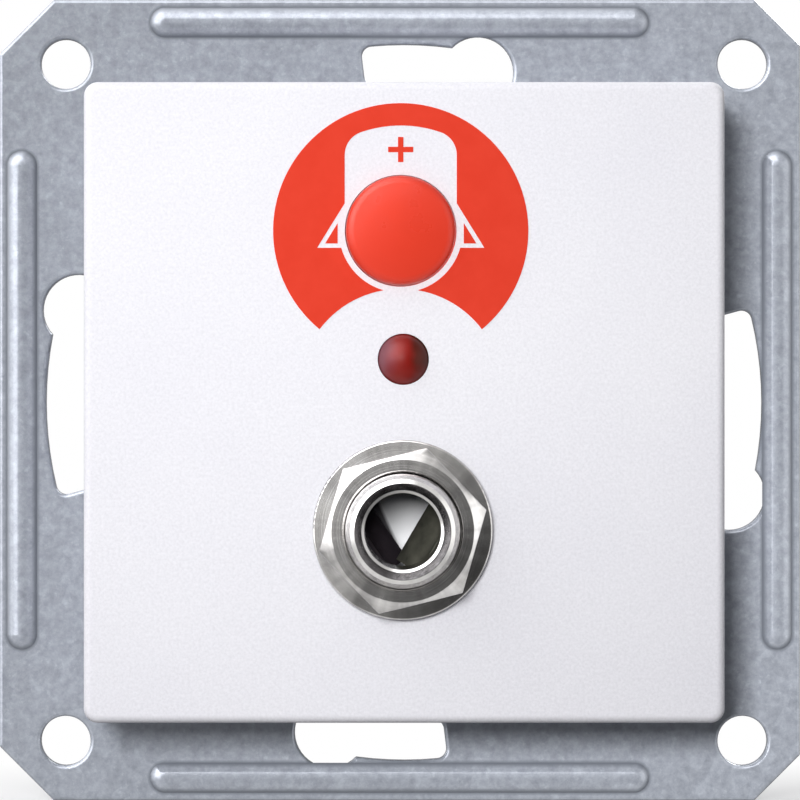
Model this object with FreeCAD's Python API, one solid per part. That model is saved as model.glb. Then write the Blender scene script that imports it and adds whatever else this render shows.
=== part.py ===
import FreeCAD, Part
import math
import os

from FreeCAD import Vector

# Flush-mounting nurse call insert: push button, call lamp and 6.35 mm jack socket.
# Sizes in mm. X points right and Z up as seen from the front, Y points into the wall.
# The origin lies on the support ring's rear face, midway between its corner holes.

touch = 0.02            # gap between fitted pieces that don't move
over = 1.0              # how far a cutter runs past the face it opens

# Support ring, stamped from zinc-plated sheet
corner_hole_pitch = 60.0
corner_hole_d = 4.4
corner_hole_margin = 5.5
ring_x = -0.4
ring_z = 0.2
ring_sheet = 1.0
ring_left_cut = 4.85
ring_right_cut = 4.05
ring_edge_r = 0.35
ring_window_r = 2.4
keyhole_slot_w = 3.5
keyhole_entry_d = 6.3
keyhole_tail_r = 0.9
keyhole_top_entry = 12.6
keyhole_top_tail = 6.95
keyhole_side_entry = 15.8
keyhole_side_tail = 15.25
bead_margin = 2.05
bead_width = 2.65
bead_height = 0.65
bead_end_margin = 13.4
bead_groove_r = 0.6

# Cover plate, moulded
plate_size = 55.0
plate_front = -10.5
plate_wall = 2.0
plate_skirt = 1.6
plate_corner_r = 1.2
plate_edge_r = 0.7
plate_ring_gap = 0.35
leg_thickness = 1.2
leg_width = 5.0
leg_inset = 2.4
leg_spread = 10.0
leg_hook_reach = 1.9
leg_hook_height = 1.8
leg_room = 0.6

# Printed nurse sign, centred on the push button
sign_ink = 0.06
sign_disc_r = 10.93
sign_head_margin = 0.6
sign_shoulder_r = 8.71
sign_shoulder_drop = 13.68
cap_half_width = 4.8
cap_corner_r = 2.06
cap_top_r = 10.4
cap_height = 9.02
cap_foot = 2.35
hair_out = 7.16
hair_foot = -1.46
hair_line = 0.38
hair_gap = 0.1
cross_height = 6.96
cross_length = 2.15
cross_arm = 0.46

# Push button
button_x = -0.3
button_d = 9.4
button_fit = 0.09
button_stand = 1.9
button_dome_r = 17.0
button_rim_r = 0.9
button_lip = 0.9
button_flange = 1.1
button_wall = 1.0
button_top = 1.5
button_hub_d = 4.6
button_socket_inset = 1.0
button_travel = 1.2
button_stop_gap = 0.05

# Push switch under the button
switch_size = 8.5
switch_edge_gap = 0.05
switch_corner_r = 0.6
switch_wall = 1.0
switch_room = 0.85
switch_base_height = 1.0
plunger_d = 2.5
plunger_fit = 0.08
plunger_foot = 4.4
plunger_foot_height = 1.0
plunger_neck_d = 1.6
blade_length = 5.0
blade_width = 2.2
blade_thickness = 0.3
blade_corner_r = 0.7
blade_waist_d = 1.1
contact_spread = 1.9
contact_height = 0.27
contact_gap = 0.08
pin_row = 2.4
pin_size = 0.5
pin_past_board = 0.9
spring_wire = 0.4
spring_turns = 3.5

# Call lamp: red window in the plate, light-emitting diode behind it
lamp_x = -0.08
window_d = 4.36
window_stand = 1.35
window_dome_r = 2.3
window_lip = 0.52
window_flange = 0.8
window_tail = 2.2
window_wall = 0.55
lamp_lift = 0.075
diode_d = 3.0
diode_setback = 1.6
diode_length = 5.0
diode_rim_reach = 0.4
diode_rim = 1.0
lead_spread = 1.27

# Jack socket for a 6.35 mm plug
jack_x = -0.13
jack_edge_gap = 0.4
jack_bore_d = 6.5
nose_d = 9.5
nose_stand = 1.4
nose_rim = 0.7
nose_cone_step = 0.25
nose_cone_depth = 0.6
nose_step = 0.1
nose_chamfer = 0.3
thread_clearance = 0.05
washer_d = 15.4
washer_thickness = 0.7
washer_edge_r = 0.15
nut_across_flats = 12.7
nut_thickness = 2.3
nut_turn = 14.0
nut_crown_inset = 0.3
nut_crown_angle = 30.0
nut_bore_chamfer = 0.35
jack_block = 15.4
jack_block_r = 1.0
jack_flange = 1.0
jack_rear = 18.5
jack_end_wall = 1.2
jack_side_wall = 1.3
leaf_thickness = 0.35
leaf_width = 6.2
leaf_seat = 4.6
leaf_lug_width = 2.0
leaf_lug_length = 3.5
ring_leaf_angle = 329.5
ring_leaf_reach = 1.0
ring_leaf_crest = -2.0
ring_leaf_shift = 0.3
tip_leaf_angle = 214.4
tip_leaf_reach = 1.46
tip_leaf_crest = 5.0
tip_leaf_shift = -0.3
leaf_mouth = 3.2
leaf_mouth_run = 3.6
leaf_crest_lift = 0.25
leaf_crest_lead = 0.7
leaf_crest_trail = 0.9
leaf_back_run = 6.5
leaf_straight_run = 1.5
earth_lug_width = 2.4
earth_lug_thickness = 0.5
link_wire_d = 0.7
link_wire_gap = 1.1
link_wire_bend = 1.2

# Circuit board
board_front = 2.0
board_thickness = 1.6
board_corner_r = 1.0
board_room = 0.6
board_edge_gap = 0.2
lead_hole_d = 0.9
board_screw_inset_x = 3.4
board_screw_inset_z = 3.2
chip_size = (3.2, 0.6, 1.6)
chip_cap = 0.45
chip_places = ((11.0, 7.0), (11.0, 3.6), (-11.4, 3.6))

# Terminal block
pole_pitch = 5.08
pole_count = 4
terminal_rear = 15.6
terminal_standoff = 1.2
terminal_switch_gap = 0.55
terminal_height = 9.0
terminal_window_gap = 0.5
terminal_edge_cut = 1.5
wire_entry_y = 11.0
cage_gap = 0.44
cage_wall = 0.5
cage_floor = 2.1
cage_height = 5.6
clamp_screw_rise = 4.9
clamp_head_d = 3.8
clamp_head_room = 0.2
clamp_head = 1.6
clamp_screw_d = 2.5
clamp_slot = 0.6
terminal_pin_d = 0.8

# Rear housing
housing_wall = 1.4
housing_corner_r = 2.0
housing_flange_gap = 0.9
housing_flange_reach = 4.4
housing_flange_thickness = 1.6
housing_flange_r = 3.0
housing_window_gap = 0.4
housing_floor = 7.0
well_side_gap = 0.8
well_end_gap = 1.0
post_d = 4.4
flange_screw_x = 16.0

# M2 screws for board and ring
screw_d = 1.96
screw_clearance = 0.2
screw_hole_spare = 0.3
screw_head_d = 3.6
screw_head = 1.3
screw_length = 5.0
screw_slot = 0.5

# Ring, plate and rear housing, from the hole pitch and the plate
ring_front = -ring_sheet
ring_size = corner_hole_pitch + 2 * corner_hole_margin
screw_circle_r = corner_hole_pitch / 2
bead_offset = ring_size / 2 - bead_margin
bead_length = ring_size - 2 * bead_end_margin
plate_inner = plate_front + plate_wall
plate_rear = ring_front - plate_ring_gap
plate_inside = plate_size - 2 * plate_skirt
housing_flange = plate_inside - 2 * housing_flange_gap
housing_size = housing_flange - 2 * housing_flange_reach
housing_inside = housing_size - 2 * housing_wall
housing_rear = housing_floor + housing_wall
flange_front = ring_front - housing_flange_thickness
ring_window = housing_size + 2 * housing_window_gap
leg_inner = housing_flange / 2 - leg_inset
screw_hole_d = screw_d + 2 * touch
flange_screw_z = (housing_flange + housing_size) / 4

# Board and the places of what it carries
board_rear = board_front + board_thickness
board_size = housing_inside - 2 * board_edge_gap
board_screw_x = board_size / 2 - board_screw_inset_x
board_screw_z = board_size / 2 - board_screw_inset_z
button_z = board_size / 2 - switch_size / 2 - switch_edge_gap
jack_z = -board_size / 2 + jack_block / 2 + jack_edge_gap
switch_low = button_z - switch_size / 2
lamp_z = (switch_low + jack_z + jack_block / 2) / 2 + lamp_lift

# Button and switch, from the plate back to the board
sign_head_r = button_d / 2 + sign_head_margin
button_flange_d = button_d + 2 * button_lip
button_hollow_d = button_d - 2 * button_wall
button_apex = plate_front - button_stand
button_rest = plate_inner + button_stop_gap
button_rear = button_rest + button_flange
button_ceiling = button_apex + button_top
socket_end = button_ceiling + button_socket_inset
spring_d = (button_hollow_d + button_hub_d) / 2
switch_front = button_rear + button_travel + switch_room
foot_front = switch_front + switch_wall + button_stop_gap
foot_rear = foot_front + plunger_foot_height
base_front = board_front - switch_base_height
contact_front = base_front - contact_height
blade_rear = contact_front - contact_gap - button_travel
blade_front = blade_rear - blade_thickness
neck_rear = blade_rear + blade_thickness
contact_length = 2 * pin_row + pin_size

# Lamp
window_flange_d = window_d + 2 * window_lip
window_rear = plate_inner + window_flange + window_tail
diode_tip = plate_front + diode_setback
diode_rear = diode_tip + diode_length
diode_rim_d = diode_d + 2 * diode_rim_reach

# Jack socket, its wires and the well behind it
flange_rear = plate_inner + jack_flange
nut_front = plate_front - washer_thickness - nut_thickness
nut_crown_d = nut_across_flats - 2 * nut_crown_inset
nose_tip = nut_front - nose_stand
nose_lip_d = nose_d - 2 * nose_rim
nose_cone_d = jack_bore_d + 2 * nose_cone_step
chamber_d = jack_block - 2 * jack_side_wall
leaf_lug_rear = jack_rear + leaf_lug_length
socket_room = jack_block / 2 + board_room
link_wire_x = socket_room + link_wire_gap
well_half_width = link_wire_x + well_side_gap
well_top = jack_z + socket_room
well_floor = leaf_lug_rear + well_end_gap

# Terminals, their pins just below the switch
terminal_half = pole_pitch * pole_count / 2
clamp_screw_z = switch_low - terminal_switch_gap - terminal_pin_d / 2
terminal_low = clamp_screw_z - clamp_screw_rise
terminal_high = terminal_low + terminal_height
cage_low = terminal_low + cage_floor
cage_high = cage_low + cage_height
cage_size = pole_pitch - 2 * cage_gap


def block(x0, x1, y0, y1, z0, z1):
    return Part.makeBox(x1 - x0, y1 - y0, z1 - z0, Vector(x0, y0, z0))


def centred_block(x, z, width, height, y0, y1):
    return block(x - width / 2, x + width / 2, y0, y1, z - height / 2, z + height / 2)


def rod(x, z, diameter, y0, y1):
    return Part.makeCylinder(diameter / 2, y1 - y0, Vector(x, y0, z), Vector(0, 1, 0))


def turned(x, z, profile):
    """Solid turned about an axis along Y from (radius, y) points."""
    points = [Vector(x + radius, y, z) for radius, y in profile]
    face = Part.Face(Part.makePolygon(points + points[:1]))
    return face.revolve(Vector(x, 0, z), Vector(0, 1, 0), 360)


def lengthwise_edges(shape):
    """Straight edges that run along Y."""
    found = []
    for edge in shape.Edges:
        box = edge.BoundBox
        if box.XLength < 1e-4 and box.ZLength < 1e-4:
            found.append(edge)
    return found


def edges_at(shape, y):
    """Edges that lie in the plane across Y at the given depth."""
    found = []
    for edge in shape.Edges:
        box = edge.BoundBox
        if abs(box.YMin - y) < 1e-4 and abs(box.YMax - y) < 1e-4:
            found.append(edge)
    return found


def is_full_circle(edge, diameter):
    return edge.isClosed() and abs(edge.BoundBox.XLength - diameter) < 0.1


def rounded_block(x, z, width, height, radius, y0, y1):
    solid = centred_block(x, z, width, height, y0, y1)
    return solid.makeFillet(radius, lengthwise_edges(solid))


def corners(x, z):
    return [(-x, -z), (x, -z), (-x, z), (x, z)]


def polar(radius, angle, y=0.0):
    turn = math.radians(angle)
    return Vector(radius * math.cos(turn), y, radius * math.sin(turn))


def joined(solids):
    first = solids[0]
    return first.fuse(solids[1:]).removeSplitter()


def save(name, shape):
    shape.exportStep(os.path.join("parts", name + ".step"))


def save_group(name, solids):
    save(name, Part.makeCompound(solids))


# Support ring
def keyhole(direction, entry_angle, tail_angle):
    """Slot on the screw circle with a round entry at its clockwise end."""
    first = direction - entry_angle
    last = direction + tail_angle
    middle = (first + last) / 2
    inner = screw_circle_r - keyhole_slot_w / 2
    outer = screw_circle_r + keyhole_slot_w / 2
    y = ring_front - over
    outline = Part.Wire([
        Part.Arc(polar(inner, first, y), polar(inner, middle, y), polar(inner, last, y)).toShape(),
        Part.makeLine(polar(inner, last, y), polar(outer, last, y)),
        Part.Arc(polar(outer, last, y), polar(outer, middle, y), polar(outer, first, y)).toShape(),
        Part.makeLine(polar(outer, first, y), polar(inner, first, y)),
    ])
    slot = Part.Face(outline).extrude(Vector(0, ring_sheet + 2 * over, 0))
    tail = polar(screw_circle_r, last)
    tail_edges = []
    for edge in lengthwise_edges(slot):
        point = edge.Vertexes[0].Point
        if math.hypot(point.x - tail.x, point.z - tail.z) < keyhole_slot_w:
            tail_edges.append(edge)
    slot = slot.makeFillet(keyhole_tail_r, tail_edges)
    entry = polar(screw_circle_r, first)
    return slot.fuse(rod(entry.x, entry.z, keyhole_entry_d, y, over)).removeSplitter()


def rod_with_round_ends(radius, x, y, z, across):
    """Rod of the beads' length, along X or Z, that ends in half balls."""
    reach = (bead_length - bead_width) / 2
    step = Vector(reach, 0, 0) if across else Vector(0, 0, reach)
    centre = Vector(x, y, z)
    bar = Part.makeCylinder(radius, 2 * reach, centre - step, step)
    return bar.fuse([Part.makeSphere(radius, centre - step), Part.makeSphere(radius, centre + step)])


def support_ring():
    ring = centred_block(ring_x, ring_z, ring_size, ring_size, ring_front, 0)
    for side, cut in ((-1, ring_left_cut), (1, ring_right_cut)):
        outer = []
        for edge in lengthwise_edges(ring):
            if abs(edge.BoundBox.XMin - ring_x - side * ring_size / 2) < touch:
                outer.append(edge)
        ring = ring.makeChamfer(cut, outer)
    half = corner_hole_pitch / 2
    for x, z in corners(half, half):
        ring = ring.cut(rod(x, z, corner_hole_d, ring_front - over, over))
    for direction in (90, 270):
        ring = ring.cut(keyhole(direction, keyhole_top_entry, keyhole_top_tail))
    for direction in (0, 180):
        ring = ring.cut(keyhole(direction, keyhole_side_entry, keyhole_side_tail))
    ring = ring.makeFillet(ring_edge_r, edges_at(ring, ring_front))

    bead_r = (bead_width ** 2 / 4 + bead_height ** 2) / (2 * bead_height)
    bead_y = ring_front - bead_height + bead_r
    front_side = centred_block(ring_x, ring_z, ring_size, ring_size, ring_front - over, ring_front)
    places = [(0, bead_offset, True), (0, -bead_offset, True)]
    places += [(bead_offset, 0, False), (-bead_offset, 0, False)]
    for along, up, across in places:
        x = ring_x + along
        z = ring_z + up
        ridge = rod_with_round_ends(bead_r, x, bead_y, z, across).common(front_side)
        ring = ring.fuse(ridge)
        ring = ring.cut(rod_with_round_ends(bead_groove_r, x, 0, z, across))

    window = rounded_block(0, 0, ring_window, ring_window, ring_window_r, ring_front - over, over)
    ring = ring.cut(window)
    slot_width = leg_width + 2 * leg_room
    slot_reach = leg_thickness + 2 * leg_room
    for x, z in corners(leg_inner + leg_thickness / 2, leg_spread):
        ring = ring.cut(centred_block(x, z, slot_reach, slot_width, ring_front - over, over))
    for x, z in corners(flange_screw_x, flange_screw_z):
        ring = ring.cut(rod(x, z, screw_hole_d, ring_front - over, over))
    return ring.removeSplitter()


# Cover plate
def snap_leg(side, z):
    """Leg behind the plate with a hook that catches the ring's rear face."""
    inner = side * leg_inner
    outer = side * (leg_inner + leg_thickness)
    hook = side * (leg_inner + leg_thickness + leg_hook_reach)
    points = [
        Vector(inner, plate_inner - touch, 0),
        Vector(inner, leg_hook_height, 0),
        Vector(outer, leg_hook_height, 0),
        Vector(hook, touch * 2, 0),
        Vector(outer, touch, 0),
        Vector(outer, plate_inner - touch, 0),
    ]
    face = Part.Face(Part.makePolygon(points + points[:1]))
    leg = face.extrude(Vector(0, 0, leg_width))
    leg.translate(Vector(0, 0, z - leg_width / 2))
    return leg


def cover_plate():
    plate = rounded_block(0, 0, plate_size, plate_size, plate_corner_r, plate_front, plate_rear)
    plate = plate.makeFillet(plate_edge_r, edges_at(plate, plate_front))
    plate = plate.cut(centred_block(0, 0, plate_inside, plate_inside, plate_inner, over))
    holes = [
        (button_x, button_z, button_d + 2 * button_fit),
        (lamp_x, lamp_z, window_d + 2 * touch),
        (jack_x, jack_z, nose_d + 2 * thread_clearance),
    ]
    for x, z, diameter in holes:
        plate = plate.cut(rod(x, z, diameter, plate_front - over, plate_inner + over))
    legs = []
    for side in (-1, 1):
        for z in (-leg_spread, leg_spread):
            legs.append(snap_leg(side, z))
    return joined([plate] + legs)


# Printed sign
def sign_point(x, z):
    return Vector(button_x + x, plate_front - sign_ink, button_z + z)


def inked(edges):
    return Part.Face(Part.Wire(edges)).extrude(Vector(0, sign_ink, 0))


def inked_polygon(pairs):
    points = [sign_point(x, z) for x, z in pairs]
    return Part.Face(Part.makePolygon(points + points[:1])).extrude(Vector(0, sign_ink, 0))


def inked_disc(z, radius):
    return rod(button_x, button_z + z, 2 * radius, plate_front - sign_ink, plate_front)


def cap_shape():
    """Nurse's cap: straight sides, rounded shoulders and a shallow arched top."""
    lean = math.asin((cap_half_width - cap_corner_r) / (cap_top_r - cap_corner_r))
    corner_x = cap_half_width - cap_corner_r
    corner_z = cap_height - cap_top_r + (cap_top_r - cap_corner_r) * math.cos(lean)
    join_x = corner_x + cap_corner_r * math.sin(lean)
    join_z = corner_z + cap_corner_r * math.cos(lean)
    mid_turn = lean / 2 + math.pi / 4
    mid_x = corner_x + cap_corner_r * math.sin(mid_turn)
    mid_z = corner_z + cap_corner_r * math.cos(mid_turn)
    left_foot = sign_point(-cap_half_width, 0)
    right_foot = sign_point(cap_half_width, 0)
    left_side = sign_point(-cap_half_width, corner_z)
    right_side = sign_point(cap_half_width, corner_z)
    left_join = sign_point(-join_x, join_z)
    right_join = sign_point(join_x, join_z)
    return inked([
        Part.makeLine(right_foot, right_side),
        Part.Arc(right_side, sign_point(mid_x, mid_z), right_join).toShape(),
        Part.Arc(right_join, sign_point(0, cap_height), left_join).toShape(),
        Part.Arc(left_join, sign_point(-mid_x, mid_z), left_side).toShape(),
        Part.makeLine(left_side, left_foot),
        Part.makeLine(left_foot, right_foot),
    ])


def hair_shapes(side):
    """White hair outline beside the head and the red field inside it."""
    outer = [
        (side * cap_half_width, cap_foot),
        (side * hair_out, hair_foot),
        (side * cap_half_width, hair_foot),
    ]
    slope = math.atan2(cap_foot - hair_foot, hair_out - cap_half_width)
    field_x = sign_head_r + hair_gap
    field_low = hair_foot + hair_line
    rise = math.tan(slope)
    shift = hair_line / math.sin(slope)
    far_x = hair_out - shift - hair_line / rise
    field_high = field_low + (far_x - field_x) * rise
    field = [
        (side * field_x, field_high),
        (side * far_x, field_low),
        (side * field_x, field_low),
    ]
    return inked_polygon(outer), inked_polygon(field)


def printed_sign():
    white = [inked_disc(0, sign_head_r), inked_disc(-sign_shoulder_drop, sign_shoulder_r), cap_shape()]
    fields = []
    for side in (-1, 1):
        outline, field = hair_shapes(side)
        white.append(outline)
        fields.append(field)
    ground = inked_disc(0, sign_disc_r).cut(white)
    bars = []
    for width, height in ((cross_arm, cross_length), (cross_length, cross_arm)):
        bars.append(centred_block(
            button_x, button_z + cross_height, width, height, plate_front - sign_ink, plate_front))
    return ground.Solids + fields + [joined(bars)]


# Push button and its switch
def call_button():
    cap = rod(button_x, button_z, button_d, button_apex, button_rear)
    dome = Part.makeSphere(button_dome_r, Vector(button_x, button_apex + button_dome_r, button_z))
    cap = cap.common(dome)
    rim = [edge for edge in cap.Edges if is_full_circle(edge, button_d) and edge.BoundBox.YMin < plate_front]
    cap = cap.makeFillet(button_rim_r, rim)
    flange = rod(button_x, button_z, button_flange_d, button_rest, button_rear)
    cap = cap.fuse(flange)
    cap = cap.cut(rod(button_x, button_z, button_hollow_d, button_ceiling, button_rear + over))
    hub = rod(button_x, button_z, button_hub_d, button_ceiling - touch, button_rear)
    socket = rod(button_x, button_z, plunger_d + 2 * touch, socket_end, button_rear + over)
    return cap.fuse(hub).cut(socket).removeSplitter()


def switch_plunger():
    """Stem with a stop foot and a neck, waisted where the blade snaps on."""
    stem = rod(button_x, button_z, plunger_d, socket_end + touch, foot_front)
    foot = centred_block(button_x, button_z, plunger_foot, plunger_foot, foot_front, foot_rear)
    neck = rod(button_x, button_z, plunger_neck_d, foot_rear, neck_rear)
    sleeve = rod(button_x, button_z, plunger_foot, blade_front - touch, blade_rear + touch)
    waist = rod(button_x, button_z, blade_waist_d, blade_front - touch, blade_rear + touch)
    return joined([stem, foot, neck]).cut(sleeve.cut(waist))


def moving_blade():
    """Bridging blade carried on the plunger's neck."""
    blade = rounded_block(
        button_x, button_z, blade_length, blade_width, blade_corner_r, blade_front, blade_rear)
    return blade.cut(rod(button_x, button_z, blade_waist_d + 2 * touch, foot_rear, neck_rear))


def switch_case():
    case = rounded_block(
        button_x, button_z, switch_size, switch_size, switch_corner_r, switch_front, base_front)
    inside = switch_size - 2 * switch_wall
    case = case.cut(centred_block(
        button_x, button_z, inside, inside, switch_front + switch_wall, base_front + over))
    return case.cut(rod(button_x, button_z, plunger_d + 2 * plunger_fit, switch_front - over, base_front))


def pin_columns():
    """Places of the switch's pins: contact pairs left and right."""
    return corners(contact_spread, pin_row)


def switch_base():
    base = centred_block(button_x, button_z, switch_size, switch_size, base_front, board_front)
    slot = pin_size + 2 * touch
    for x, z in pin_columns():
        base = base.cut(centred_block(
            button_x + x, button_z + z, slot, slot, base_front - over, board_front + over))
    return base


def switch_contacts():
    """Two fixed contact bars, each standing on its own pair of pins."""
    solids = []
    for side in (-1, 1):
        x = button_x + side * contact_spread
        bar = centred_block(x, button_z, pin_size, contact_length, contact_front, base_front)
        pins = []
        for z in (-pin_row, pin_row):
            pins.append(centred_block(
                x, button_z + z, pin_size, pin_size, contact_front, board_rear + pin_past_board))
        solids.append(joined([bar] + pins))
    return solids


def return_spring():
    """Coil spring between the button's ceiling and the switch's front."""
    front = button_ceiling + spring_wire / 2 + touch
    rear = switch_front - spring_wire / 2 - touch
    height = rear - front
    path = Part.makeHelix(height / spring_turns, height, spring_d / 2)
    section = Part.Wire(Part.makeCircle(spring_wire / 2, Vector(spring_d / 2, 0, 0), Vector(0, 1, 0)))
    coil = Part.Wire(path).makePipeShell([section], True, True)
    coil.rotate(Vector(0, 0, 0), Vector(1, 0, 0), -90)
    coil.translate(Vector(button_x, front, button_z))
    return coil


# Call lamp
def lamp_window():
    """Red window: domed front, flange behind the plate, hollow for the diode."""
    front = plate_front - window_stand
    centre_y = front + window_dome_r
    dome = Part.makeSphere(window_dome_r, Vector(lamp_x, centre_y, lamp_z))
    window = rod(lamp_x, lamp_z, window_d, front, centre_y).common(dome)
    body = rod(lamp_x, lamp_z, window_d, centre_y, window_rear)
    flange = rod(lamp_x, lamp_z, window_flange_d, plate_inner, plate_inner + window_flange)
    window = joined([window, body, flange])
    hollow = rod(lamp_x, lamp_z, window_d - 2 * window_wall, plate_front + window_wall, 0)
    return window.cut(hollow).removeSplitter()


def lamp_diode():
    radius = diode_d / 2
    barrel = rod(lamp_x, lamp_z, diode_d, diode_tip + radius, diode_rear)
    tip = Part.makeSphere(radius, Vector(lamp_x, diode_tip + radius, lamp_z))
    rim = rod(lamp_x, lamp_z, diode_rim_d, diode_rear - diode_rim, diode_rear)
    return joined([barrel, tip, rim])


def diode_leads():
    leads = []
    for side in (-1, 1):
        leads.append(centred_block(
            lamp_x + side * lead_spread, lamp_z, pin_size, pin_size, diode_rear, board_rear + pin_past_board))
    return leads


# Jack socket
def jack_shell():
    """Threaded nose with its square flange and the sleeve's solder lug."""
    nose_r = nose_d / 2
    cone_end = nose_tip + nose_cone_depth
    nose = turned(jack_x, jack_z, [
        (jack_bore_d / 2, flange_rear),
        (nose_r, flange_rear),
        (nose_r, nose_tip + nose_chamfer),
        (nose_r - nose_chamfer, nose_tip),
        (nose_lip_d / 2, nose_tip),
        (nose_cone_d / 2, cone_end),
        (jack_bore_d / 2, cone_end + nose_step),
    ])
    flange = rounded_block(jack_x, jack_z, jack_block, jack_block, jack_block_r, plate_inner, flange_rear)
    lug_low = jack_z + jack_block / 2
    half = earth_lug_width / 2
    lug = block(
        jack_x - half, jack_x + half, plate_inner, board_rear + pin_past_board,
        lug_low - over, lug_low + earth_lug_thickness)
    body_room = block(
        jack_x - jack_block, jack_x + jack_block, flange_rear, jack_rear,
        jack_z, lug_low + touch)
    bore = rod(jack_x, jack_z, jack_bore_d, plate_inner - over, flange_rear + over)
    return joined([nose, flange, lug]).cut([body_room, bore]).removeSplitter()


def jack_washer():
    washer = rod(jack_x, jack_z, washer_d, plate_front - washer_thickness, plate_front)
    washer = washer.makeFillet(washer_edge_r, edges_at(washer, plate_front - washer_thickness))
    return washer.cut(rod(jack_x, jack_z, nose_d + 4 * thread_clearance, nut_front, 0))


def jack_nut():
    corner_r = nut_across_flats / 2 / math.cos(math.radians(30))
    rear = plate_front - washer_thickness
    points = []
    for index in range(7):
        points.append(polar(corner_r, nut_turn + 60 * index, nut_front))
    prism = Part.Face(Part.makePolygon(points)).extrude(Vector(0, nut_thickness, 0))
    prism.translate(Vector(jack_x, 0, jack_z))
    reach = corner_r + touch
    crown_r = nut_crown_d / 2
    crown_depth = (reach - crown_r) * math.tan(math.radians(nut_crown_angle))
    crown = turned(jack_x, jack_z, [
        (0, nut_front),
        (crown_r, nut_front),
        (reach, nut_front + crown_depth),
        (reach, rear),
        (0, rear),
    ])
    hole_r = nose_d / 2 + thread_clearance
    hole = turned(jack_x, jack_z, [
        (0, nut_front - over),
        (hole_r + nut_bore_chamfer + over, nut_front - over),
        (hole_r, nut_front + nut_bore_chamfer),
        (hole_r, rear + over),
        (0, rear + over),
    ])
    return prism.common(crown).cut(hole)


def jack_body():
    body = rounded_block(jack_x, jack_z, jack_block, jack_block, jack_block_r, flange_rear, jack_rear)
    chamber = rod(jack_x, jack_z, chamber_d, flange_rear - over, jack_rear - jack_end_wall)
    body = body.cut(chamber)
    for angle in (ring_leaf_angle, tip_leaf_angle):
        slot = centred_block(
            leaf_seat + leaf_thickness / 2, 0, leaf_thickness + 2 * touch, leaf_lug_width + 2 * touch,
            0, jack_rear + over)
        body = body.cut(placed_leaf(slot, angle))
    return body


def placed_leaf(shape, angle):
    """Moves a shape drawn with its outward side along X to its place around the jack."""
    moved = shape.copy()
    moved.rotate(Vector(0, 0, 0), Vector(0, 1, 0), -angle)
    moved.translate(Vector(jack_x, 0, jack_z))
    return moved


def contact_leaf(angle, reach, crest, shift):
    """Leaf spring that bends in to the plug's path and ends in a solder lug."""
    seat = leaf_seat
    path = [
        Vector(leaf_mouth, crest - leaf_mouth_run, 0),
        Vector(reach + leaf_crest_lift, crest - leaf_crest_lead, 0),
        Vector(reach, crest, 0),
        Vector(reach + leaf_crest_lift, crest + leaf_crest_trail, 0),
        Vector(seat, crest + leaf_back_run, 0),
        Vector(seat, crest + leaf_back_run + leaf_straight_run, 0),
    ]
    curve = Part.BSplineCurve()
    curve.interpolate(path)
    inner_edge = curve.toShape()
    outer_edge = inner_edge.copy()
    outer_edge.translate(Vector(leaf_thickness, 0, 0))
    start = [inner_edge.valueAt(inner_edge.FirstParameter), outer_edge.valueAt(outer_edge.FirstParameter)]
    end = [inner_edge.valueAt(inner_edge.LastParameter), outer_edge.valueAt(outer_edge.LastParameter)]
    outline = Part.Wire([
        inner_edge,
        Part.makeLine(end[0], end[1]),
        outer_edge,
        Part.makeLine(start[1], start[0]),
    ])
    bent = Part.Face(outline).extrude(Vector(0, 0, leaf_width))
    bent.translate(Vector(0, 0, shift - leaf_width / 2))
    straight_start = path[-1].y
    wide_end = jack_rear - jack_end_wall - touch
    straight = block(
        seat, seat + leaf_thickness, straight_start, wide_end, shift - leaf_width / 2, shift + leaf_width / 2)
    lug = centred_block(seat + leaf_thickness / 2, 0, leaf_thickness, leaf_lug_width, wide_end, leaf_lug_rear)
    return placed_leaf(joined([bent, straight, lug]), angle)


def link_wires():
    """Stiff wires from the two leaf lugs forward to the board."""
    wires = []
    height = leaf_lug_rear - link_wire_bend
    for side, angle in ((-1, tip_leaf_angle), (1, ring_leaf_angle)):
        centre = polar(leaf_seat + leaf_thickness, angle)
        z = jack_z + centre.z
        start = jack_x + centre.x + side * (link_wire_d / 2 + 4 * touch)
        corner_x = jack_x + side * link_wire_x
        bend = link_wire_bend
        inside = Vector(corner_x - side * bend, height, z)
        turn = math.sqrt(0.5) * bend
        middle = Vector(corner_x - side * bend + side * turn, height - bend + turn, z)
        down = Vector(corner_x, height - bend, z)
        path = Part.Wire([
            Part.makeLine(Vector(start, height, z), inside),
            Part.Arc(inside, middle, down).toShape(),
            Part.makeLine(down, Vector(corner_x, board_front - pin_past_board, z)),
        ])
        section = Part.Wire(Part.makeCircle(link_wire_d / 2, Vector(start, height, z), Vector(1, 0, 0)))
        wires.append(path.makePipeShell([section], True, True))
    return wires


# Circuit board
def terminal_pole_places():
    places = []
    for index in range(pole_count):
        places.append((index - (pole_count - 1) / 2) * pole_pitch)
    return places


def circuit_board():
    board = rounded_block(0, 0, board_size, board_size, board_corner_r, board_front, board_rear)
    board = board.cut(block(
        jack_x - socket_room, jack_x + socket_room, board_front - over, board_rear + over,
        -board_size, jack_z + socket_room))
    holes = [(x, z, screw_hole_d + screw_clearance) for x, z in corners(board_screw_x, board_screw_z)]
    holes += [(button_x + x, button_z + z, lead_hole_d) for x, z in pin_columns()]
    holes += [(lamp_x + side * lead_spread, lamp_z, lead_hole_d) for side in (-1, 1)]
    holes += [(x, clamp_screw_z, terminal_pin_d + 2 * touch) for x in terminal_pole_places()]
    for side, angle in ((-1, tip_leaf_angle), (1, ring_leaf_angle)):
        z = jack_z + polar(leaf_seat + leaf_thickness, angle).z
        holes.append((jack_x + side * link_wire_x, z, lead_hole_d))
    for x, z, diameter in holes:
        board = board.cut(rod(x, z, diameter, board_front - over, board_rear + over))
    return board


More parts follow.
